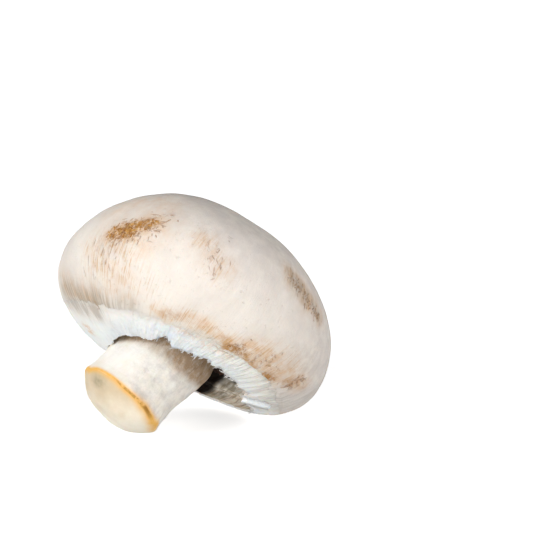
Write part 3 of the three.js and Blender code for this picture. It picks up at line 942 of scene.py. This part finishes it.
# Stem
stemSettings = {
    "columns": 300,
    "rows": 150,
    "cutRows": 60,
    "topHeight": 6.3,
    "rimRadius": 8.0,
    "girths": [(0, 8.02), (0.02, 8.12), (0.08, 7.85), (0.2, 7.65), (0.5, 8.0), (0.8, 7.9), (0.98, 7.7)],
    "foot": (-0.73, -1.23, -19.19),
    "footDirection": (-0.015, -0.163, -0.987),
    "cutCrown": 3.5,
    "cutRoundness": 3,
    "swell": 0.15,
    "swellBearing": 50,
    "swellAt": 0.45,
    "swellLength": 0.25,
    "stemWaves": [(2, 0.02, 140), (3, 0.012, 100)],
    "white": "f8f5ef",
    "cream": "f1e8d8",
    # painted shade under the veil, partly a brown stain
    "shade": "996b1c",
    "fleck": "6a4a22",
    "cut": "d3bf9f",
    "cutPale": "fff6e4",
    "ring": "f0b548",
    "ringDark": "8a5a1e",
    "ringWidth": 0.46,  # mm
    "shadeBearing": 15,
    "dull": "857f66",
    "grey": "cfc9c4",
    "roughness": 0.52,
    "softness": 0.28,
    "softReach": 2.2,
    "bump": (0.2, 0.9),
}


def stemLine():
    s = stemSettings
    foot = np.array(s["foot"])
    direction = unit(np.array(s["footDirection"]))
    top = np.array([0, 0, s["topHeight"]])
    reach = np.linalg.norm(foot - top)
    handles = [foot, foot - 0.35 * reach * direction, top - np.array([0, 0, 0.45 * reach]), top]
    t = np.linspace(0, 1, 401)[:, None]
    weights = ((1 - t) ** 3, 3 * t * (1 - t) ** 2, 3 * t * t * (1 - t), t**3)
    line = sum(weight * handle for weight, handle in zip(weights, handles))
    lengths = np.concatenate([[0], np.cumsum(np.linalg.norm(np.diff(line, axis=0), axis=1))])
    return reach, lengths / lengths[-1], line, unit(np.gradient(line, lengths, axis=0))


def stemPoint(radius, station, bearing):
    s = stemSettings
    reach, known, line, slope = stemLine()
    t = np.clip(station / reach, 0, 1)
    centre, along = (np.stack([np.interp(t, known, v[:, i]) for i in range(3)], -1) for v in (line, slope))
    along = unit(along)
    across = unit(np.array([1.0, 0, 0]) - along * along[..., :1])
    other = np.cross(along, across)
    swollen = np.maximum(facing(bearing, s["swellBearing"]), 0) ** 2
    swell = s["swell"] * swollen * hill((t - s["swellAt"]) / s["swellLength"])
    r = (radius * (1 + waves(s["stemWaves"], bearing) * (1 - t) + swell))[..., None]
    aside = across * r * np.cos(bearing)[..., None] + other * r * np.sin(bearing)[..., None]
    return centre + aside + along * np.minimum(station, 0)[..., None]


def stemLook():
    look = Look("stemFlesh", stemSettings)
    at, along = look.places()
    cut, rim, shade = look.fields("cut", "rim", "shade")
    thread = 0.5 + (1.0 - cut) * (along.threads(1.1, 0.14, 5, 0.6) - 0.5)
    side = look.mix("white", "cream", 0.7 * at.noise(0.16, 3, 0.5).above(0.35, 0.65)) * (0.95 + 0.08 * thread)
    side = side.to("grey", 0.8 * look.field("tawny") * at.noise(0.6, 5, 0.65).above(0.35, 0.75))
    speck = along.threads(1.1, 0.7, 5, 0.75)
    # painted shade under the veil, partly a brown stain, speckled
    shadeAndStain = (shade * (0.65 + 0.7 * speck.above(0.3, 0.7))).upTo(1.0)
    flecks = along.threads(1.6, 0.5, 4, 0.7).above(0.54, 0.68)
    side = side.to("shade", 0.75 * shadeAndStain).to("fleck", 0.4 * shade * flecks)
    clouded = (look.field("buff") + 0.9 * (at.noise(0.3, 4, 0.6) - 0.5)).above(-0.4, 1.0)
    dulled = look.field("dull") * (0.5 + 0.7 * at.noise(1.5, 4, 0.6).above(0.3, 0.7))
    face = look.mix("cutPale", "cut", clouded).to("dull", (0.55 * dulled).upTo(1.0))
    band = (rim * (0.6 + 0.8 * at.noise(0.8, 4, 0.65))).upTo(1.0)
    colour = side.to(face, cut).to("ring", (0.95 * band).upTo(1.0))
    darker = rim.above(0.75, 1.0) * look.field("charred") * at.noise(0.8, 3, 0.6).above(0.3, 0.55)
    height = 0.8 * thread + 0.5 * at.noise(1.4, 5, 0.6) + 0.6 * (shade * thread)
    return look.finish(colour.to("ringDark", 0.8 * darker), 0.2 * thread, height)


def makeStem():
    s = stemSettings
    reach = stemLine()[0]
    out = np.linspace(0, 1, s["cutRows"] + 1)[1:]
    radius = list(s["rimRadius"] * out)
    station = list(-s["cutCrown"] * (1 - out ** s["cutRoundness"]))
    known = np.array(s["girths"])
    up = np.linspace(0.004, 1, s["rows"]) ** 1.15
    radius += [*np.interp(up, known[:, 0], known[:, 1]), known[-1, 1] - 0.5]
    station += [*(up * reach), reach]
    flat = np.ones((len(radius), s["columns"]))
    radius, station = np.array(radius)[:, None] * flat, np.array(station)[:, None] * flat
    around = allRound(s["columns"]) * flat
    points = stemPoint(radius, station, around)
    height = points[..., 2]
    cut = 0 * flat
    cut[:s["cutRows"]] = 1
    fields = {"upright": points, "grain": grain(around, station, 8.0), "cut": cut}
    fromRim = np.where(cut > 0, radius - s["rimRadius"], station) - 0.05 + 0.22 * cloud(points, 3.0, 41, 2)
    wide = s["ringWidth"] * (1 + 0.8 * smooth(facing(around, 25), 0.4, 1))
    fields["rim"] = hill(fromRim / wide) * smooth(0.5 + 0.5 * facing(around, -60), 0.12, 0.5)
    # Painted shade under the veil, partly a brown stain: a broad band on the side towards bearing 15, a faint
    # band towards bearing 300, and a thin dark line right below the veil's edge
    turned = facing(around, s["shadeBearing"])
    shadeStart = -10.3 - 2.0 * turned + 1.2 * cloud(points, 4.0, 44, 3)
    edgeHeight = -11.2 + 0.046 * fromBearing(around, 261)
    edged = 0.95 * smooth(height, edgeHeight - 1.1, edgeHeight + 0.5)
    thin = np.maximum(0.45 * smooth(height, -11.4, -9.4), edged)
    thick = smooth(height, shadeStart, shadeStart + 3.2) * smooth(turned, 0.15, 0.98)
    fields["shade"] = np.maximum(thick, thin * smooth(facing(around, 300), 0.3, 0.8))
    fields["tawny"] = smooth(facing(around, 25), -0.1, 0.7)
    fields["charred"] = smooth(facing(around, 335), 0.75, 0.95)
    fields["buff"] = cut * radius / s["rimRadius"] * facing(around, 275)
    smudge = (radius - 6.9 + 0.3 * cloud(points, 1.6, 46)) / 0.75
    fields["dull"] = cut * hill(fromBearing(around, 276) / 15) * hill(smudge)
    calm = smooth(station / reach, 1.0, 0.93) * smooth(np.arange(len(radius)), 0, 6)[:, None]
    lift = 0.16 * cloud(points, 5.0, 42, 4) + 0.04 * fields["rim"]
    lift += 0.05 * (1 - cut) * cloud(fields["grain"] * (1, 1, 0.15), 0.9, 43, 2)
    lift += 0.16 * fields["tawny"] * (1 - cut) * cloud(points, 2.4, 45, 2)
    points = points + gridNormals(points, s["cutRows"] + s["rows"] // 2) * (calm * lift)[..., None]
    poles = (points[0].mean(0), points[-1].mean(0))
    ringPiece("stemFlesh", points, fields, stemLook(), "stem", poles)


makeCap()
makeVeil()
makeGills()
makeStem()

# Stage
stageSettings = {
    "floorSize": 4.0,
    "floorGlow": 0.6,
    "cardShade": 0.35,
    "cardGlow": 0.45,
    "worldGlow": 1.0,
    "lampDistance": 3.0,
    "lampSize": 1.8,
    "lamps": [  # name, azimuth, elevation, power in W
        ("key", -10, 20, 70.5),
        ("fill", 90, 15, 37.5),
        ("front", 51, 15, 27.3),
        ("right", 120, 30, 11.0),
        ("left", -90, 20, 11.0),
        ("back", 150, 60, 18.4),
    ],
    "azimuth": 51,
    "elevation": 15,
    "distance": 0.45,
    "pixelsPerMillimetre": 5.81,
    "imagePixels": 554,
    "centrePixel": (189.0, 312.25),
    "cupCentre": (0.945, -1.064, 19.3),  # the cap's widest level as it lies, in mm
}


def makeSheet(name, height, shade, glow):
    half = stageSettings["floorSize"] / 2
    corners = [(-half, -half, height), (half, -half, height), (half, half, height), (-half, half, height)]
    mesh = bpy.data.meshes.new(name)
    mesh.from_pydata(corners, [], [(0, 1, 2, 3)])
    sheet = placed(name, mesh)
    look = Look(name, {"roughness": 0.9, "softness": 0.0, "softReach": 1.0})
    look.set("Base Color", (shade, shade, shade))
    look.set("Emission Color", (1.0, 1.0, 1.0))
    look.set("Emission Strength", glow)
    mesh.materials.append(look.material)
    return sheet


def makeFloor():
    s = stageSettings
    floor = makeSheet("floor", -2e-5, 0.92, s["floorGlow"])
    floor.visible_diffuse = False
    floor.visible_glossy = False
    card = makeSheet("card", -1e-3, s["cardShade"], s["cardGlow"])  # sends light up from below
    card.visible_camera = False


def direction(azimuth, elevation):
    a, e = math.radians(azimuth), math.radians(elevation)
    return Vector((math.sin(a) * math.cos(e), -math.cos(a) * math.cos(e), math.sin(e)))


def makeLight(name, azimuth, elevation, power):
    lamp = bpy.data.lights.new(name, "AREA")
    lamp.shape = "DISK"
    lamp.size = stageSettings["lampSize"]
    lamp.energy = power
    light = placed(name, lamp)
    towards = direction(azimuth, elevation)
    light.location = towards * stageSettings["lampDistance"] + Vector((0, 0, 0.02))
    light.rotation_euler = towards.to_track_quat("Z", "Y").to_euler()


def makeCamera():
    s = stageSettings
    focal = s["pixelsPerMillimetre"] * s["distance"] / millimetre
    camera = bpy.data.cameras.new("camera")
    camera.sensor_width = 36
    camera.lens = 36 * focal / s["imagePixels"]
    camera.clip_start = 0.01
    camera.clip_end = 20
    body = placed("camera", camera)
    back = direction(s["azimuth"], s["elevation"])
    turn = back.to_track_quat("Z", "Y")
    x, y = (pixel - s["imagePixels"] / 2 for pixel in s["centrePixel"])
    aside = turn @ Vector((x, -y, 0)) / focal
    body.location = Vector(s["cupCentre"]) * millimetre + (back - aside) * s["distance"]
    body.rotation_euler = turn.to_euler()
    bpy.context.scene.camera = body


def makeWorld():
    world = bpy.data.worlds.new("room")
    world.use_nodes = True
    background = world.node_tree.nodes["Background"]
    background.inputs["Color"].default_value = (1.0, 1.0, 1.0, 1.0)
    background.inputs["Strength"].default_value = stageSettings["worldGlow"]
    bpy.context.scene.world = world
    for ray in ("diffuse", "glossy", "transmission", "scatter"):  # seen behind the floor, but sends no light
        setattr(world.cycles_visibility, ray, False)


makeFloor()
makeWorld()
for lampSettings in stageSettings["lamps"]:
    makeLight(*lampSettings)
makeCamera()
bpy.context.scene.view_settings.view_transform = "Standard"
print("stage: floor, world, lamps and the camera")
